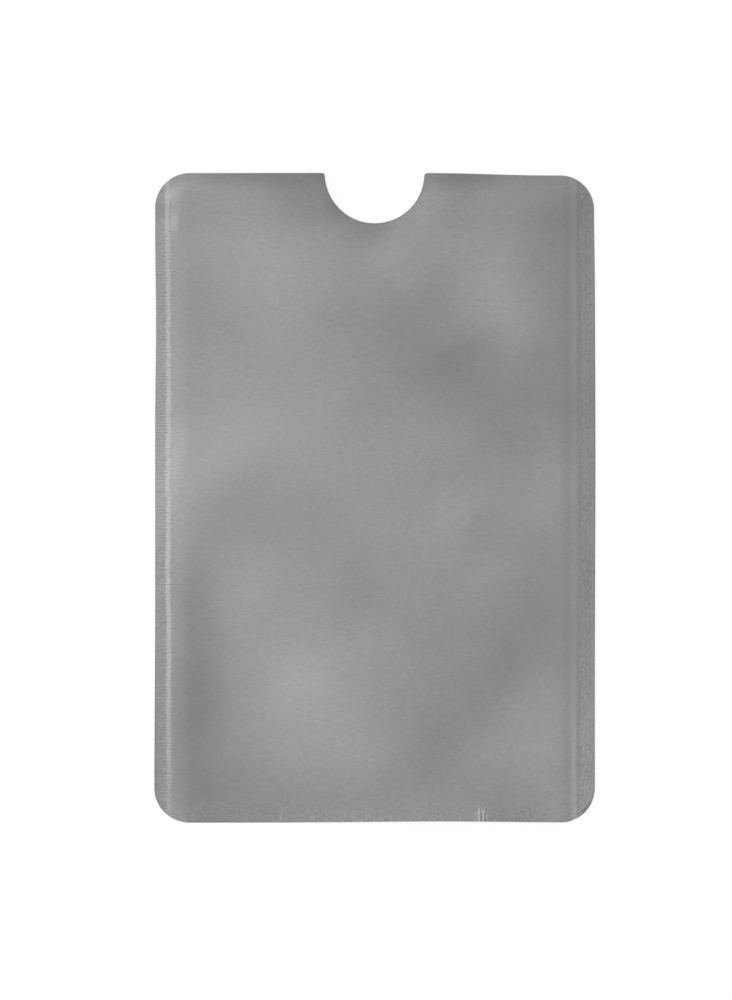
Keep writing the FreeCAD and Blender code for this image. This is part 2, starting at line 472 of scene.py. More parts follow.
def swell_height(x, y, swell):
    """A hill, or a hollow if its rise is negative. It faces along its turn, in degrees from +X, and reaches
    as far as before, after and across say, in millimetres."""
    cos, sin = math.cos(math.radians(swell.turn)), math.sin(math.radians(swell.turn))
    along = (x - swell.at[0]) * cos + (y - swell.at[1]) * sin
    across = (y - swell.at[1]) * cos - (x - swell.at[0]) * sin
    blend = FLANK_BLEND * min(swell.before, swell.after)
    past_crest = 1 / (1 + np.exp(-np.clip(along / blend, -EXPONENT_LIMIT, EXPONENT_LIMIT)))
    reach = swell.before + (swell.after - swell.before) * past_crest
    return swell.rise * np.exp(-((along / reach) ** 2 + (across / swell.across) ** 2) / 2)


def off_side_seals(x, y):
    """0 on the side seals, which stay straight, and 1 further in, where the wall is free to swell."""
    left, right, _ = edge_distances(x, y)
    held_left = hump(np.clip(left - side_weld, 0, None), 0, LEFT_FADE)
    held_right = hump(np.clip(right - side_weld, 0, None), 0, RIGHT_FADE)
    return (1 - held_left) * (1 - held_right)


print(f"a swell has {off_side_seals(half_width - STRIP_WIDTH, 0.0):.1%} of its height at the right strip")

# %% Swells of the front wall
FRONT_SWELLS = [
    Swell("upper left", (-9.5, 23.5), 10, 14, 5, -50, 0.19),
    Swell("upper right", (24.5, 20.5), 7.5, 7, 5, -45, 0.24),
    Swell("top right", (20, 37), 8, 5, 6, -20, 0.14),
    Swell("hollow before the upper right", (11, 34.5), 16, 8, 6, -45, -0.16),
    Swell("right of the middle, above", (1, 29), 16, 11, 6, -45, 0.40),
    Swell("long hollow after it", (27, 1), 14, 14, 6, -50, -0.32),
    Swell("beside the left seal, middle", (-20, 0), 6, 10, 8, -40, 0.16),
    Swell("low band across the middle", (12, 3), 8, 14, 14, -55, 0.16),
    Swell("right, below the middle", (20, -11), 9, 11, 8, -50, 0.17),
    Swell("hollow beside the left seal, below", (-20, -26), 5, 9, 13, 0, -0.24),
    Swell("hollow beside the left seal, above", (-21.5, 23), 3, 14, 9, 0, -0.03),
    Swell("left, below the middle", (-13.5, -15), 5, 13, 5.5, -20, 0.165),
    Swell("between it and the lower middle", (-4, -27.5), 7, 10, 6, -50, 0.13),
    Swell("hollow below the middle", (1.5, -17.5), 7, 10, 8, -52, -0.12),
    Swell("lower middle", (3.2, -39.9), 12, 13, 7, -50, 0.48),
    Swell("broad swell, lower left", (-4, -36), 16, 12, 9, -48, 0.18),
    Swell("trough, lower right", (18.9, -29.3), 4.5, 12, 9.5, -38, -0.17),
    Swell("beside the notch", (10.5, 40), 3, 6, 3, -20, 0.05),
    Swell("dark fold, right", (10, 23.5), 30, 4, 5, -65, 0.115),
    Swell("dark fold, further right", (17.5, 20), 30, 4, 5, -60, 0.06),
    Swell("middle, above", (0, 16), 9, 12, 8, -50, 0.06),
    Swell("right of the notch", (13.2, 31.8), 5, 14, 4.5, -50, 0.08),
    Swell("below the notch", (0.5, 33.5), 30, 4, 4.5, -50, 0.045),
    Swell("left below the notch", (-8, 38.5), 30, 4, 3, -50, 0.03),
    Swell("top left", (-20, 33), 6, 30, 4, -50, 0.04),
    Swell("hollow, left above the middle", (-15, 10), 8, 40, 6, -50, -0.065),
    Swell("below the fold", (7, -8.5), 20, 6, 6, -50, 0.045),
]
highest = max(FRONT_SWELLS, key=lambda swell: swell.rise)
print(f"{len(FRONT_SWELLS)} swells, the highest {highest.rise:.2f} mm: {highest.name}")

# %% [markdown]
# Smaller crumples lie among the swells, at the rims of the mouth and the notch, along the seals and at the
# lower corners. They have the same form, but they run over the seals as well: a corner that droops takes
# its seal with it. So they are kept in a list of their own.

# %% Crumples that run over the seals
CRUMPLES = [
    Swell("small sharp fold", (13.2, -3.4), 2.5, 1.1, 2.4, -15, 0.035),
    Swell("hollow beside it", (19.2, -6.8), 3.4, 8, 3.8, -25, -0.08),
    Swell("right of the hollow", (23.5, -6.5), 3.5, 30, 3, -50, 0.04),
    Swell("patch at the top left, lower", (-27.3, 39.0), 0.8, 3, 2.2, 0, 0.012),
    Swell("patch at the top left, upper", (-27.2, 42.6), 0.9, 3, 1.2, 0, 0.02),
    Swell("left of the middle", (-13.5, 8), 40, 6, 6, -50, 0.045),
    Swell("left of the middle, below", (-13, 4), 40, 9, 8, -50, 0.07),
    Swell("rim of the mouth, left", (-25, 46.5), 1.5, 1.5, 7, -90, 0.12),
    Swell("rim of the mouth, right of the notch", (10.5, 46), 1.6, 1.6, 2.2, -90, 0.07),
    Swell("rim of the mouth, right", (19, 46.2), 1.6, 1.6, 7, -90, 0.035),
    Swell("left of the notch", (-10.5, 43.3), 6, 4, 4, -50, 0.05),
    Swell("rim of the notch, raised", (-7.3, 42.8), 6, 2.6, 1.2, -50, 0.19),
    Swell("rim of the notch, lowered", (-3.4, 38.2), 2.6, 16, 1.2, -50, -0.10),
    Swell("rim of the notch, right", (4.8, 41.8), 2, 2.4, 2.4, -30, -0.05),
    Swell("beside the ridge, below", (-22.5, -25), 2.5, 6, 15, 0, -0.055),
    Swell("beside the ridge, lowest", (-23, -36), 2.5, 14, 5, 0, -0.025),
    Swell("left of the creases", (14, -48), 5, 5, 4.5, -90, 0.15),
    Swell("right of the creases", (23, -48), 6, 6, 5, -90, -0.06),
    Swell("beside the ridge", (-25.5, 4), 2.6, 8, 6, -15, 0.09),
    Swell("beside the right seal", (25.7, 17.7), 7, 6.5, 5, -50, 0.19),
    Swell("bright patch before it", (24.5, 21.5), 4, 12, 3, -50, 0.07),
    Swell("beside the right seal, above", (23.5, 36), 4, 4, 7, -20, 0.05),
    Swell("beside the right seal, below", (24.5, -11), 6, 2.5, 8, 0, 0.05),
    Swell("droop of the lower left corner", (-14, -49), 9, 9, 12, -90, -0.62),
    Swell("droop beside it", (-7, -47.5), 4.5, 4.5, 6, -90, -0.10),
    Swell("lift of the lower left corner", (-25, -47.5), 4.5, 4.5, 3.5, -90, 0.16),
    Swell("lift of the lower right corner", (30, -40), 12, 10, 12, -45, 0.17),
]
deepest = min(CRUMPLES, key=lambda crumple: crumple.rise)
print(f"{len(CRUMPLES)} crumples, the deepest {-deepest.rise:.2f} mm: {deepest.name}")

# %% [markdown]
# A thumb that takes the card pushes the mouth outwards. Left of the notch the lip is curled most, right of
# it only a narrow rim is, and the curl runs round the foot of the notch and fades out on its right. A few
# humps along the mouth do for this, each dying away with the distance from the edge.

# %% Lips at the mouth
Lip = namedtuple("Lip", "at spread rise reach")
LIPS = [
    Lip(-19, 7, 0.11, 2.4),
    Lip(-12, 8, 0.16, 2.0),
    Lip(-10, 8, 0.38, 4.8),
    Lip(12, 5, 0.16, 1.3),
    Lip(17, 9, 0.07, 2.4),
]
NOTCH_CURL = 0.16
NOTCH_CURL_REACH = 3.0
NOTCH_CURL_END, NOTCH_CURL_FADE = -5.0, 8.0


def lip_curl(x, y):
    """How far the mouth curls outwards along its edge and round the foot of the notch."""
    down = np.clip(mouth_y - y, 0, None)
    from_centre = np.maximum(np.hypot(x, y - mouth_y), NOTCH_RADIUS)
    foot = (down / from_centre) ** 2 * np.exp((NOTCH_RADIUS - from_centre) / NOTCH_CURL_REACH)
    curl = NOTCH_CURL * foot * (1 - smooth((x - NOTCH_CURL_END) / NOTCH_CURL_FADE))
    for lip in LIPS:
        curl = curl + lip.rise * np.exp(-((x - lip.at) / lip.spread) ** 2 - down / lip.reach)
    return curl


print(f"the lip curls {lip_curl(np.array(0.0), np.array(mouth_y - NOTCH_RADIUS)):.2f} mm at the notch")

# %% [markdown]
# The lower right corner has been knocked. The outermost rim of its arc is bent down, and it shows as a small
# dark crescent, which the film's colour darkens further as painted shade. A bevel would run round every
# corner alike. So this rim gets a drop of its own, over a short length of the arc.

# %% The bent lower right corner
CORNER_FOLD = 0.22
CORNER_FOLD_WIDTH = 0.4
CORNER_FOLD_TURN, CORNER_FOLD_SPREAD = -38.0, 6.5


def corner_fold(x, y):
    """The rim of the lower right corner has been knocked down, over a short length of its arc."""
    from_x, from_y = x - corner_x, y - bottom_y - CORNER_RADIUS
    inside = CORNER_RADIUS - np.hypot(from_x, from_y)
    turn = np.degrees(np.arctan2(from_y, from_x))
    share = hump(turn, CORNER_FOLD_TURN, CORNER_FOLD_SPREAD)
    return -CORNER_FOLD * share * (1 - smooth(inside / CORNER_FOLD_WIDTH))


print(f"the corner is bent down over {CORNER_FOLD_WIDTH} mm")

# %% [markdown]
# On the seals both walls lie on the seam and follow the same height. Inside, the front wall keeps that
# height, and the back wall sinks to the table over a short shoulder. The back wall has its own few swells.
# They only go inwards, because the table holds it flat.

# %% Inner faces of the two walls
BACK_SWELLS = [
    Swell("back, upper", (8, 20), 9, 12, 8, -60, 0.12),
    Swell("back, left", (-14, -4), 8, 9, 12, -20, 0.10),
    Swell("back, lower", (10, -27), 10, 8, 9, 35, 0.12),
]
BACK_SHOULDER = 1.6


def front_relief(x, y):
    """The height of the front wall above the level of the seals in the CAD model."""
    swells = sum(swell_height(x, y, swell) for swell in FRONT_SWELLS)
    crumples = sum(swell_height(x, y, swell) for swell in CRUMPLES) + corner_fold(x, y)
    return bend(y) + side_height(x, y) + off_side_seals(x, y) * (swells + lip_curl(x, y)) + crumples


def front_inner(x, y):
    """The level of the front wall's inner face."""
    return weld_top + front_relief(x, y)


def back_inner(x, y):
    """The level of the back wall's inner face."""
    left, right, bottom = edge_distances(x, y)
    share = climbed(left, side_weld, side_weld + BACK_SHOULDER)
    share = share * climbed(right, side_weld, side_weld + BACK_SHOULDER)
    share = share * climbed(bottom, bottom_weld, bottom_weld + BACK_SHOULDER)
    resting = wall_thickness + bend(y) + sum(swell_height(x, y, swell) for swell in BACK_SWELLS)
    return (weld_bottom + front_relief(x, y)) * (1 - share) + resting * share


pocket = front_inner(flat_x, flat_y) - back_inner(flat_x, flat_y)
print(f"the walls are {pocket.min():.3f} mm apart where they are closest, and {pocket.max():.2f} mm at most")

# %% [markdown]
# ## A ply as a closed sheet
#
# A plane with a solidify modifier would do for a thick sheet. Here three plies of different thickness lie
# on each other, and their faces must meet exactly. So each ply is made from two copies of the grid, one
# at the level of its lower face and one at its upper face, joined by a rim along the cut edge.

# %% Make a closed sheet between two levels
RIM_ANGLE = math.radians(50)


def sheet(name, x, y, lower, upper):
    """A closed mesh object between two levels over one grid, in millimetres."""
    shift_x, shift_y = cutting_error(x, y)
    number = np.arange(x.size).reshape(x.shape)
    levels = [np.stack([x + shift_x, y + shift_y, level], -1).reshape(-1, 3) for level in (lower, upper)]
    quads = np.stack([number[:-1, :-1], number[1:, :-1], number[1:, 1:], number[:-1, 1:]], -1).reshape(-1, 4)
    rim = np.concatenate([number[:, 0], number[-1, 1:], number[-2::-1, -1], number[0, -2:0:-1]])
    after = np.roll(rim, -1)
    walls = np.stack([rim, after, after + x.size, rim + x.size], -1)
    mesh = bpy.data.meshes.new(name)
    points = np.concatenate(levels) * MM
    mesh.from_pydata(points.tolist(), [], np.concatenate([quads[:, ::-1], quads + x.size, walls]).tolist())
    piece = bpy.data.objects.new(name, mesh)
    bpy.context.scene.collection.objects.link(piece)
    return piece


def finish_piece(piece, node, material):
    """Smooth faces with a crisp rim, a finish, and a place in the frame."""
    piece.data.shade_smooth()
    piece.data.set_sharp_from_angle(angle=RIM_ANGLE)
    piece.data.materials.append(material)
    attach(piece, "root")
    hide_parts(node)
    print(f"{piece.name}: {len(piece.data.polygons)} faces, stands for {node}")


print(f"each ply starts with {2 * flat_x.size} points")

# %% [markdown]
# ## The print of the seal bar
#
# A seal bar is covered with a woven cloth, so that hot film doesn't stick to it. The weave prints itself
# into the sealed strips as a grid of tiny bumps, about half a millimetre apart. A bump texture would look
# right from straight above only. Here the strips get finer faces, and the weave is pressed into the mesh.

# %% Finer faces along the seals
FINE_STEP = 0.12

on_strip = np.abs(columns) > half_width - STRIP_WIDTH - FINE_STEP / 2
on_bottom = rows < bottom_y + SEAL_ZONE + FINE_STEP / 2


def edges_to_cut(shape, mark):
    """The outer face's long edges, by the number of cuts: along Y on the sides and along X at the bottom."""
    groups = {}
    for edge in shape.edges:
        first, last = sorted(vert.index % flat_x.size for vert in edge.verts)
        column, row = divmod(first, len(rows))
        next_column, next_row = divmod(last, len(rows))
        if min(vert[mark] for vert in edge.verts) < 1:
            continue
        if column == next_column and on_strip[column]:
            length = rows[next_row] - rows[row]
        elif row == next_row and on_bottom[row] and not (on_strip[column] and on_strip[next_column]):
            length = columns[next_column] - columns[column]
        else:
            continue
        groups.setdefault(round(length / FINE_STEP) - 1, []).append(edge)
    return groups


def divide_strips(piece, outer):
    """Cuts the outer face into finer faces along the seals. outer is 1 for the outer face's points."""
    shape = bmesh.new()
    shape.from_mesh(piece.data)
    mark = shape.verts.layers.float.new("outer")
    for vert, value in zip(shape.verts, outer):
        vert[mark] = value
    for cuts, edges in sorted(edges_to_cut(shape, mark).items()):
        if cuts > 0:
            bmesh.ops.subdivide_edges(shape, edges=edges, cuts=cuts, use_grid_fill=True)
    shape.to_mesh(piece.data)
    shape.free()


print(f"{on_strip.sum()} columns lie on the side strips, and {on_bottom.sum()} rows on the bottom strip")

# %% The woven print
WEAVE_STEP_X = 0.50
WEAVE_STEP_Y = 0.43
LEFT_WEAVE_DEPTH = 0.0102
RIGHT_WEAVE_DEPTH = 0.008
BOTTOM_WEAVE_DEPTH = 0.009
BOTTOM_WEAVE_WIDTH = 1.8
LEFT_CROSSING, RIGHT_CROSSING = 0.45, 0.6
THREAD_DRIFT, THREAD_DRIFT_LENGTH, THREAD_SLANT_LENGTH = 0.12, 9.0, 2.3
RIB_DRIFT, RIB_DRIFT_LENGTH, RIB_SLANT_LENGTH = 0.04, 6.1, 1.9
USUAL_PRINT = 0.9
LONG_PATCHES, LONG_PATCH_LENGTHS, LONG_PATCH_START = 0.25, (7.3, 3.1), 1.0
SLANT_PATCHES, SLANT_PATCH_LENGTHS = 0.2, (1.7, 4.7)
WEAVE_EDGE = 0.25


def band(distance, width):
    """1 on a strip of that width along an edge, fading over its two borders."""
    return smooth(distance / WEAVE_EDGE) * smooth((width - distance) / WEAVE_EDGE)


def strip_shares(x, y):
    """How much of the weave's print a point gets from the left, right and bottom strips."""
    left, right, bottom = edge_distances(x, y)
    off_sides = smooth((np.minimum(left, right) - STRIP_WIDTH) / WEAVE_EDGE)
    return band(left, STRIP_WIDTH), band(right, STRIP_WIDTH), band(bottom, BOTTOM_WEAVE_WIDTH) * off_sides


def print_strength(x, y):
    """The print is uneven: stronger and weaker patches follow each other along the strips."""
    first, second = LONG_PATCH_LENGTHS
    strength = USUAL_PRINT + LONG_PATCHES * wave(y, first) * wave(y, second, LONG_PATCH_START)
    first, second = SLANT_PATCH_LENGTHS
    return strength + SLANT_PATCHES * wave(x - y, first) * wave(x + y, second)


def weave_print(x, y):
    """The height of the woven print: mostly ribs on the left, and a broken weave on the right and below."""
    drift = THREAD_DRIFT * (wave(y, THREAD_DRIFT_LENGTH) + wave(y + x, THREAD_SLANT_LENGTH))
    threads = wave(x + drift, WEAVE_STEP_X)
    drift = RIB_DRIFT * (wave(y, RIB_DRIFT_LENGTH) + wave(x + y, RIB_SLANT_LENGTH))
    ribs = wave(y + drift, WEAVE_STEP_Y)
    left, right, bottom = strip_shares(x, y)
    height = LEFT_WEAVE_DEPTH * left * ribs * (1 - LEFT_CROSSING + LEFT_CROSSING * threads)
    height = height + RIGHT_WEAVE_DEPTH * right * threads * (1 - RIGHT_CROSSING + RIGHT_CROSSING * ribs)
    return print_strength(x, y) * (height + BOTTOM_WEAVE_DEPTH * bottom * threads * ribs)


print(f"weave {WEAVE_STEP_X} x {WEAVE_STEP_Y} mm, up to {LEFT_WEAVE_DEPTH} mm deep")

# %% [markdown]
# Where the two walls didn't lie quite flat under the bar, it has pinched small creases that run up from the
# bottom edge. They are pressed into the mesh together with the weave. The height of both is also stored on
# the mesh, so that the finish can paint raised points lighter and low ones darker: a painted highlight and
# painted shade on top of the light that the relief catches itself.

# %% Press the weave and the creases into the strips
# The height that gets the full painted highlight, or at a low point the full painted shade.
FULL_SHADE_HEIGHT = 0.012
OUTER_MARK = 0.99

Crease = namedtuple("Crease", "x length width height")
CREASES = [
    Crease(14.05, 1.7, 0.19, 0.012),
    Crease(14.53, 2.2, 0.19, 0.034),
    Crease(15.09, 2.0, 0.19, 0.034),
    Crease(15.64, 1.6, 0.19, 0.016),
    Crease(-12.9, 2.2, 0.19, 0.010),
    Crease(-12.3, 1.9, 0.19, 0.010),
]


def crease_height(x, y):
    """Small pinched creases that run up from the bottom edge. Each fades over its upper half."""
    up = y - bottom_y
    total = np.zeros_like(x)
    for crease in CREASES:
        ridge = hump(x, crease.x, crease.width)
        total = total + crease.height * ridge * (1 - smooth(2 * up / crease.length - 1))
    return total


def mesh_points(mesh):
    """The points of a mesh, one row for each, in metres."""
    points = np.empty(len(mesh.vertices) * 3)
    mesh.vertices.foreach_get("co", points)
    return points.reshape(-1, 3)


def add_mark(mesh, name, value):
    """Stores one value per point on a mesh."""
    mark = mesh.attributes.new(name, "FLOAT", "POINT")
    mark.data.foreach_set("value", value.astype(np.float32))


def press_strips(piece, outward):
    """Moves the outer face's points by the print and the creases. The mark print stores their height as a
    share of the full print, together with that of the knocked corner, which the sheet has already. The
    film's colour turns this mark into painted highlight and painted shade."""
    mesh = piece.data
    points = mesh_points(mesh)
    outer = np.empty(len(mesh.vertices))
    mesh.attributes["outer"].data.foreach_get("value", outer)
    x, y = points[:, 0] / MM, points[:, 1] / MM
    height = np.where(outer > OUTER_MARK, weave_print(x, y) + crease_height(x, y), 0)
    points[:, 2] += outward * MM * height
    mesh.vertices.foreach_set("co", points.ravel())
    mesh.update()
    # From this mark the film's finish paints raised points lighter and low points darker, and the knocked
    # corner darker: painted highlight and painted shade.
    add_mark(mesh, "print", np.clip((height + corner_fold(x, y)) / FULL_SHADE_HEIGHT, -1, 1))


print(f"{len(CREASES)} creases, the longest {max(crease.length for crease in CREASES)} mm")

# %% [markdown]
# The finish also changes along the seals and at the cut edge. So the film's mesh carries three more values
# per point: how far it is from the cut edge, how much the seal bar pressed it, and how strongly it is
# mottled. A material could work these out from coordinates with many nodes. A stored value is shorter, and
# it stays with the mesh.

# %% Store where the edge and the seals are
BOTTOM_MOTTLE, MOTTLE_HEIGHT = 1.4, 4.5


def edge_distance(x, y):
    """How far a point lies inside the cut outline."""
    out_x = np.abs(x) - corner_x
    out_y = np.abs(y) - (mouth_y - CORNER_RADIUS)
    past_corner = np.hypot(np.clip(out_x, 0, None), np.clip(out_y, 0, None))
    from_outline = CORNER_RADIUS - past_corner - np.minimum(np.maximum(out_x, out_y), 0)
    return np.minimum(from_outline, np.hypot(x, y - mouth_y) - NOTCH_RADIUS)


def store_marks(piece):
    """Adds the marks edge_distance, pressed and printed, which the film's finish reads."""
    points = mesh_points(piece.data)
    x, y = points[:, 0] / MM, points[:, 1] / MM
    left, right, _ = strip_shares(x, y)
    sides = np.maximum(left, right)
    low = BOTTOM_MOTTLE * (1 - smooth((y - bottom_y) / MOTTLE_HEIGHT))
    add_mark(piece.data, "edge_distance", edge_distance(x, y))
    add_mark(piece.data, "pressed", sides)
    add_mark(piece.data, "printed", np.maximum(sides, low))


print(f"the middle of the blank is {edge_distance(np.array(0.0), np.array(0.0)):.1f} mm from its edge")

# %% [markdown]
# ## Finishes
#
# The outer film is polyester with a breath of aluminium on it: a satin metal, not a mirror. A fine grain
# runs across it, like linen, from the rollers that it was made on. Two noise textures, each stretched one
# way, give that grain to the colour and the bump. A coarse noise clouds the colour and the gloss. A plain
# metal would look like plastic here, because the eye knows foil by its uneven gloss.

# %% Nodes for noise and values
NOISE_RANGE = (0.3, 0.7)


def new_finish(name):
    """A new material, with its node tree and its shader."""
    material = bpy.data.materials.new(name)
    material.use_nodes = True
    return material, material.node_tree, material.node_tree.nodes["Principled BSDF"]


def grain(tree, per_metre, detail=2.0):
    """Noise with a given number of grains per metre along X, Y and Z."""
    place = tree.nodes.new("ShaderNodeTexCoord")
    stretch = tree.nodes.new("ShaderNodeMapping")
    stretch.inputs["Scale"].default_value = per_metre
    noise = tree.nodes.new("ShaderNodeTexNoise")
    noise.inputs["Scale"].default_value = 1.0
    noise.inputs["Detail"].default_value = detail
    tree.links.new(place.outputs["Object"], stretch.inputs["Vector"])
    tree.links.new(stretch.outputs["Vector"], noise.inputs["Vector"])
    return noise.outputs["Fac"]


def ranged(tree, value, from_low, from_high, to_low, to_high):
    """A value carried from one range to another."""
    node = tree.nodes.new("ShaderNodeMapRange")
    tree.links.new(value, node.inputs["Value"])
    node.inputs["From Min"].default_value = from_low
    node.inputs["From Max"].default_value = from_high
    node.inputs["To Min"].default_value = to_low
    node.inputs["To Max"].default_value = to_high
    return node.outputs["Result"]


def combined(tree, operation, first, second):
    """Two values put together by a sum, a product and so on."""
    node = tree.nodes.new("ShaderNodeMath")
    node.operation = operation
    tree.links.new(first, node.inputs[0])
    tree.links.new(second, node.inputs[1])
    return node.outputs["Value"]


# %% Nodes for colour, bump and stored marks
def shaded(tree, value, dark, light):
    """A colour between two colours."""
    ramp = tree.nodes.new("ShaderNodeValToRGB")
    ramp.color_ramp.elements[0].color = (*dark, 1)
    ramp.color_ramp.elements[1].color = (*light, 1)
    tree.links.new(value, ramp.inputs["Fac"])
    return ramp.outputs["Color"]


def bumped(tree, shader, value, depth):
    """A bump of a given depth, in metres."""
    bump = tree.nodes.new("ShaderNodeBump")
    bump.inputs["Distance"].default_value = depth
    tree.links.new(value, bump.inputs["Height"])
    tree.links.new(bump.outputs["Normal"], shader.inputs["Normal"])


def mark_value(tree, name):
    """A value stored on the mesh."""
    node = tree.nodes.new("ShaderNodeAttribute")
    node.attribute_name = name
    return node.outputs["Fac"]


# %% Silver film
LINEN_ACROSS = (1100, 4600, 1800)
LINEN_ALONG = (4400, 1500, 1900)
ACROSS_SHARE, ALONG_SHARE = 0.6, 0.4
LINEN_BUMP = 0.0000006
FILM_CLOUDS = (90, 90, 90)
FILM_MOTTLE = (3000, 3000, 3000)
FILM_MOTTLE_RANGE = (0.35, 0.65)
FILM_DARK, FILM_LIGHT = (0.267, 0.259, 0.263), (0.446, 0.432, 0.439)
LINEN_TONE = (0.30, 0.65)
# The second of these tones is painted highlight and painted shade on the relief of the print.
CLOUD_TONE, RELIEF_SHADE_TONE, MOTTLE_TONE = 0.1, 0.22, 0.15
DARK_EDGE_WIDTH, DARK_EDGE_TONE = 0.22, 0.6
FILM_ROUGHNESS = (0.285, 0.315)
PRESSED_ROUGHNESS = 0.05


def linen_grain(tree):
    """The linen grain: one noise stretched across the sleeve, and a weaker one along it."""
    across = ranged(tree, grain(tree, LINEN_ACROSS), *NOISE_RANGE, 0, ACROSS_SHARE)
    along = ranged(tree, grain(tree, LINEN_ALONG), *NOISE_RANGE, 0, ALONG_SHARE)
    return combined(tree, "ADD", across, along)


def film_tone(tree, linen, cloud):
    """How light the film is: its linen and clouds, the mottle of the seals, a darker cut edge, and a painted
    highlight and shade on the relief of the print, the creases and the knocked corner.
    """
    tone = ranged(tree, linen, 0, 1, *LINEN_TONE)
    tone = combined(tree, "ADD", tone, ranged(tree, cloud, *NOISE_RANGE, 0, CLOUD_TONE))
    # Painted highlight on raised points, and painted shade on low ones and on the knocked corner.
    raised = ranged(tree, mark_value(tree, "print"), -1, 1, -RELIEF_SHADE_TONE, RELIEF_SHADE_TONE)
    tone = combined(tree, "ADD", tone, raised)
    mottle = grain(tree, FILM_MOTTLE, detail=1.0)
    mottle = ranged(tree, mottle, *FILM_MOTTLE_RANGE, -MOTTLE_TONE, MOTTLE_TONE)
    mottle = combined(tree, "MULTIPLY", mottle, mark_value(tree, "printed"))
    tone = combined(tree, "ADD", tone, mottle)
    # The film gets darker over the last fifth of a millimetre before the cut edge.
    dark_edge = ranged(tree, mark_value(tree, "edge_distance"), 0, DARK_EDGE_WIDTH, DARK_EDGE_TONE, 1)
    return combined(tree, "MULTIPLY", tone, dark_edge)


def silver_film():
    """Satin silver film with a linen grain, duller where it was sealed and darker along the cut edge."""
    material, tree, shader = new_finish("silver_film")
    linen = linen_grain(tree)
    cloud = grain(tree, FILM_CLOUDS, detail=4.0)
    dulled = ranged(tree, mark_value(tree, "pressed"), 0, 1, 0, PRESSED_ROUGHNESS)
    roughness = combined(tree, "ADD", ranged(tree, cloud, *NOISE_RANGE, *FILM_ROUGHNESS), dulled)
    colour = shaded(tree, film_tone(tree, linen, cloud), FILM_DARK, FILM_LIGHT)
    shader.inputs["Metallic"].default_value = 1.0
    tree.links.new(colour, shader.inputs["Base Color"])
    tree.links.new(roughness, shader.inputs["Roughness"])
    bumped(tree, shader, linen, LINEN_BUMP)
    return material


film_finish = silver_film()
print("silver film:", len(film_finish.node_tree.nodes), "nodes")

# %% [markdown]
# The other three finishes show only at the cut edges and inside the mouth. The foil is plain rolled
# aluminium, bright, with fine lines along the roll. The liner is a clear sealing film over that foil, so
# it looks like a softer, milkier silver. Where two liners melted together, the seam has turned cloudy. One
# noise is enough for each of them: it drives the colour, the roughness and the bump together.

# %% Foil, liner and seam
def grained_finish(name, per_metre, detail, colours, roughness, bump):
    """A material with one noise in its colour, roughness and bump, and its shader for what else it needs."""
    material, tree, shader = new_finish(name)
    noise = grain(tree, per_metre, detail)
    tree.links.new(shaded(tree, noise, *colours), shader.inputs["Base Color"])
    tree.links.new(ranged(tree, noise, *NOISE_RANGE, *roughness), shader.inputs["Roughness"])
    bumped(tree, shader, noise, bump)
    return material, shader


def shield_foil():
    """Bright rolled foil, with fine lines along its length."""
    colours = (0.70, 0.70, 0.71), (0.84, 0.84, 0.85)
    material, shader = grained_finish(
        "shield_foil", (5000, 120, 120), detail=2.0, colours=colours, roughness=(0.18, 0.28), bump=0.0000008)
    shader.inputs["Metallic"].default_value = 1.0
    return material


def seal_liner():
    """Clear sealing film with the foil showing through it."""
    colours = (0.54, 0.54, 0.55), (0.66, 0.66, 0.67)
    material, shader = grained_finish(
        "seal_liner", (700, 700, 700), detail=4.0, colours=colours, roughness=(0.30, 0.42), bump=0.000002)
    shader.inputs["Metallic"].default_value = 0.75
    shader.inputs["Coat Weight"].default_value = 0.3
    shader.inputs["Coat Roughness"].default_value = 0.25
    return material


def fused_seam():
    """Liner that has melted and set again: cloudy, with small bubbles."""
    colours = (0.58, 0.58, 0.58), (0.72, 0.72, 0.72)
    material, shader = grained_finish(
        "fused_seam", (2500, 2500, 2500), detail=3.0, colours=colours, roughness=(0.38, 0.55), bump=0.000004)
    shader.inputs["Subsurface Weight"].default_value = 0.2
    shader.inputs["Subsurface Scale"].default_value = 0.0002
    return material


foil_finish = shield_foil()
liner_finish = seal_liner()
seam_finish = fused_seam()
print("finishes:", foil_finish.name, liner_finish.name, seam_finish.name)

# %% [markdown]
# ## The two walls
#
# Each wall is stacked outwards from the pocket: first the liner, then the foil, then the film. The front
# wall counts its levels upwards and the back wall downwards, and otherwise both are made by one function.

# %% Stack the plies of a wall
def make_wall(side, inner, outward):
    """The three plies of one wall, from its inner face outwards. outward is 1 upwards and -1 downwards."""
    plies = [
        ("liner", "seal_liner", liner_thickness, liner_finish, f"{side}_seal_liner"),
        ("foil", "shield_foil", foil_thickness, foil_finish, f"{side}_shield_foil"),
        ("film", "silver_film", film_thickness, film_finish, f"{side}_outer_film"),
    ]
    level = inner
    for name, slot, thickness, finish, node in plies:
        next_level = level + outward * thickness
        lower, upper = (level, next_level) if outward > 0 else (next_level, level)
        piece = sheet(f"{side}_{name}", flat_x, flat_y, lower, upper)
        if name == "film":
            is_upper = np.repeat([0.0, 1.0], flat_x.size)
            divide_strips(piece, is_upper if outward > 0 else 1 - is_upper)
            press_strips(piece, outward)
            store_marks(piece)
        finish_piece(piece, node, finish)
        level = next_level


make_wall("front", front_inner(flat_x, flat_y), 1)
make_wall("back", back_inner(flat_x, flat_y), -1)

# %% [markdown]
# ## The seams
#
# Under the flat strips the two liners have melted into one. That seam is a sheet of its own, a twentieth
# of a millimetre thick, and at the cut edge it shows as a pale line between the walls. Its grid follows
# the same outline and the same two wall faces, so it fills the seal exactly.

# %% Fill the seals
SIDE_SEAM_COLUMNS = 18
SEAM_ROWS = 120
SEAM_COLUMNS = 80
BOTTOM_SEAM_ROWS = 6


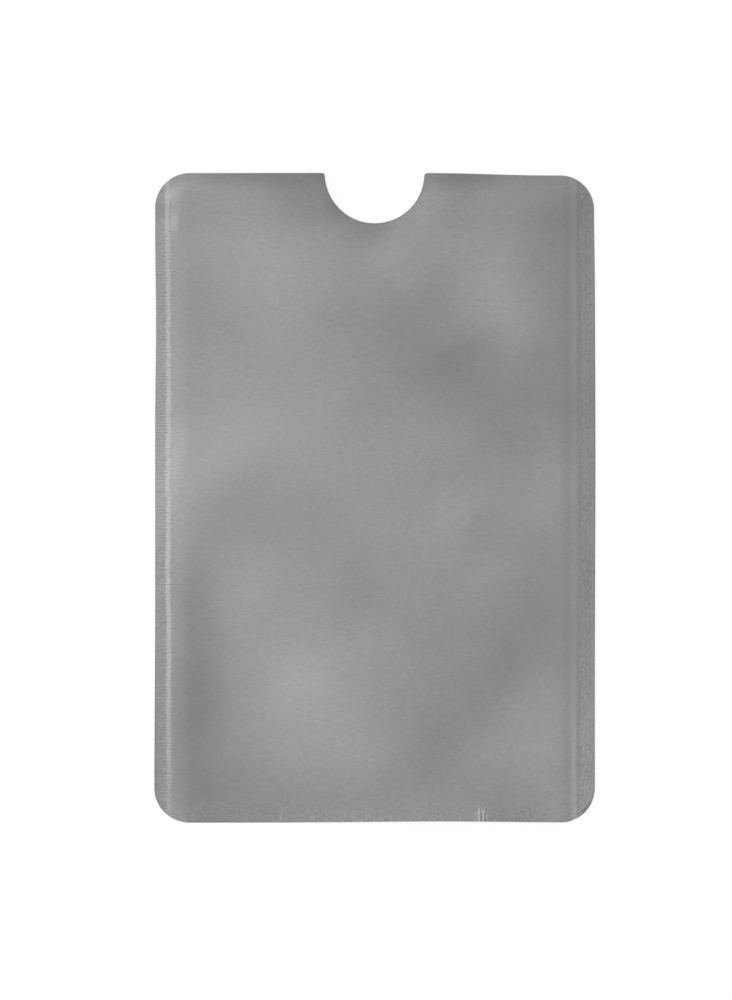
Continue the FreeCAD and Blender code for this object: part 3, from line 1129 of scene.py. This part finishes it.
def make_seam(name, node, x, low_y, high_y, row_count):
    """A seam between the two walls over a strip of the blank."""
    shares = np.linspace(0, 1, row_count + 1)
    grid_x = np.repeat(x[:, None], row_count + 1, 1)
    grid_y = low_y[:, None] + (high_y - low_y)[:, None] * shares
    piece = sheet(name, grid_x, grid_y, back_inner(grid_x, grid_y), front_inner(grid_x, grid_y))
    finish_piece(piece, node, seam_finish)


def seam_ends(x):
    """Where the blank begins and ends at x, along Y."""
    return bottom_y + corner_drop(x), mouth_y - corner_drop(x)


weld_angle = math.acos(1 - side_weld / CORNER_RADIUS)
right_x = corner_x + CORNER_RADIUS * np.cos(np.linspace(weld_angle, 0, SIDE_SEAM_COLUMNS + 1))
left_x = -right_x[::-1]
middle_x = np.linspace(left_x[-1], right_x[0], SEAM_COLUMNS + 1)
make_seam("left_seam", "left_weld_seam", left_x, *seam_ends(left_x), SEAM_ROWS)
make_seam("right_seam", "right_weld_seam", right_x, *seam_ends(right_x), SEAM_ROWS)
weld_end = np.full_like(middle_x, bottom_y + bottom_weld)
make_seam("bottom_seam", "bottom_weld_seam", middle_x, seam_ends(middle_x)[0], weld_end, BOTTOM_SEAM_ROWS)

# %% [markdown]
# ## The studio
#
# The sleeve lies on a white sweep: a floor that curves up into a wall all round, so that no horizon
# shows. A white floor lit until it burns out would also wash out the sleeve. So the sweep glows by itself
# where the camera or a reflection looks at it, and takes the sleeve's shadow with the rest. Seen from
# below it is clear, so that the back wall can be looked at too.

# %% White sweep
SWEEP_FLOOR_RADIUS = 2.4
SWEEP_CURVE_RADIUS = 0.5
SWEEP_TOP = 1.5
SWEEP_SIDES = 96
SWEEP_CURVE_STEPS = 12


def sweep_profile():
    """Radius and height along the sweep, from the rim of the floor to the top of the wall."""
    angles = np.linspace(0, math.pi / 2, SWEEP_CURVE_STEPS + 1)
    curve = [(SWEEP_FLOOR_RADIUS + SWEEP_CURVE_RADIUS * math.sin(a), SWEEP_CURVE_RADIUS * (1 - math.cos(a)))
             for a in angles]
    return curve + [(SWEEP_FLOOR_RADIUS + SWEEP_CURVE_RADIUS, SWEEP_TOP)]


def make_sweep():
    """A round floor with a curved wall, facing inwards."""
    profile = sweep_profile()
    turns = np.linspace(0, 2 * math.pi, SWEEP_SIDES, endpoint=False)
    points = [(r * math.cos(t), r * math.sin(t), z) for r, z in profile for t in turns]
    faces = [tuple(range(SWEEP_SIDES))]
    for ring in range(len(profile) - 1):
        for side in range(SWEEP_SIDES):
            here, there = ring * SWEEP_SIDES + side, ring * SWEEP_SIDES + (side + 1) % SWEEP_SIDES
            faces.append((here, here + SWEEP_SIDES, there + SWEEP_SIDES, there))
    mesh = bpy.data.meshes.new("sweep")
    mesh.from_pydata(points, [], faces)
    mesh.shade_smooth()
    sweep = bpy.data.objects.new("sweep", mesh)
    bpy.context.scene.collection.objects.link(sweep)
    return sweep


sweep = make_sweep()
print(f"sweep with {len(sweep.data.polygons)} faces")

# %% White that keeps the shadow
SWEEP_WHITE = 0.8
GLOW = 0.84
SHADOW_SHARE = 0.25


def paint(tree, white):
    """Matt paint, from black at 0 to white at 1."""
    node = tree.nodes.new("ShaderNodeBsdfDiffuse")
    node.inputs["Color"].default_value = (white, white, white, 1)
    return node.outputs["BSDF"]


def either(tree, choice, first, second):
    """One shader where the choice is 0, and another where it is 1."""
    node = tree.nodes.new("ShaderNodeMixShader")
    tree.links.new(choice, node.inputs["Fac"])
    tree.links.new(first, node.inputs[1])
    tree.links.new(second, node.inputs[2])
    return node.outputs["Shader"]


def sweep_white():
    """White for the eye and for reflections, with the shadow on it; plain white paint for the light."""
    material = bpy.data.materials.new("sweep_white")
    material.use_nodes = True
    tree = material.node_tree
    tree.nodes.clear()
    path = tree.nodes.new("ShaderNodeLightPath")
    seen = combined(tree, "MAXIMUM", path.outputs["Is Camera Ray"], path.outputs["Is Glossy Ray"])
    seen = combined(tree, "MAXIMUM", seen, path.outputs["Is Transmission Ray"])
    glow = tree.nodes.new("ShaderNodeEmission")
    glow.inputs["Strength"].default_value = GLOW
    lit = tree.nodes.new("ShaderNodeAddShader")
    tree.links.new(glow.outputs["Emission"], lit.inputs[0])
    tree.links.new(paint(tree, SHADOW_SHARE), lit.inputs[1])
    topside = either(tree, seen, paint(tree, SWEEP_WHITE), lit.outputs["Shader"])
    geometry = tree.nodes.new("ShaderNodeNewGeometry")
    clear = tree.nodes.new("ShaderNodeBsdfTransparent")
    surface = either(tree, geometry.outputs["Backfacing"], topside, clear.outputs["BSDF"])
    output = tree.nodes.new("ShaderNodeOutputMaterial")
    tree.links.new(surface, output.inputs["Surface"])
    return material


sweep.data.materials.append(sweep_white())
print("the sweep's material:", sweep.data.materials[0].name)

# %% [markdown]
# Satin metal shows what is above it, blurred. Under one even white sky every slope would look the same,
# and the sleeve would turn into flat grey card. So one large softbox hangs to the upper left and begins
# just beside the point that the level film mirrors to the camera. A slope that turns to it gets lighter,
# and one that turns away gets darker. A weaker box on the other side keeps the steep shoulders from going
# black, and an even sky fills the rest.

# %% Softboxes and sky
LAMP_HEIGHT = 6.0
SKY = 0.42


def softbox(name, radiance, near_degrees, far_degrees, azimuth_degrees, length):
    """A flat lamp that faces down and spans two angles from straight up, on the side of an azimuth."""
    near = LAMP_HEIGHT * math.tan(math.radians(near_degrees))
    far = LAMP_HEIGHT * math.tan(math.radians(far_degrees))
    lamp = bpy.data.lights.new(name, "AREA")
    lamp.shape = "RECTANGLE"
    lamp.size = far - near
    lamp.size_y = length
    lamp.energy = radiance * math.pi * lamp.size * lamp.size_y
    box = bpy.data.objects.new(name, lamp)
    azimuth = math.radians(azimuth_degrees)
    middle = (near + far) / 2
    box.location = (middle * math.cos(azimuth), middle * math.sin(azimuth), LAMP_HEIGHT)
    box.rotation_euler = (0, 0, azimuth)
    box.visible_camera = False
    bpy.context.scene.collection.objects.link(box)
    print(f"{name}: {lamp.size:.2f} x {lamp.size_y:.2f} m, {lamp.energy:.0f} W")


softbox("main_softbox", radiance=1.6, near_degrees=5, far_degrees=34, azimuth_degrees=130, length=9.6)
softbox("fill_softbox", radiance=0.45, near_degrees=20, far_degrees=46, azimuth_degrees=-70, length=7.2)

sky = bpy.data.worlds.new("sky")
sky.use_nodes = True
sky.node_tree.nodes["Background"].inputs["Color"].default_value = (1, 1, 1, 1)
sky.node_tree.nodes["Background"].inputs["Strength"].default_value = SKY
bpy.context.scene.world = sky

# %% [markdown]
# ## The camera
#
# The sleeve is seen from straight above, mouth up, with white all round it. A short lens would bend the
# straight sides, so the camera stands two metres off with a long lens. The lens follows from the length
# of table that the picture's long side takes in.

# %% Camera straight above
CAMERA_HEIGHT = 2.0
CAMERA_SIGHT = 20.0
PICTURE_LENGTH = 138.67
PICTURE_MIDDLE = (-1.28, -0.33)

camera_data = bpy.data.cameras.new("camera")
camera_data.lens = camera_data.sensor_width * CAMERA_HEIGHT / (PICTURE_LENGTH * MM)
camera_data.clip_end = CAMERA_SIGHT
camera = bpy.data.objects.new("camera", camera_data)
camera.location = (PICTURE_MIDDLE[0] * MM, PICTURE_MIDDLE[1] * MM, CAMERA_HEIGHT + cad_high.z)
bpy.context.scene.collection.objects.link(camera)
bpy.context.scene.camera = camera
bpy.context.scene.view_settings.view_transform = "Standard"
print(f"lens {camera_data.lens:.0f} mm")
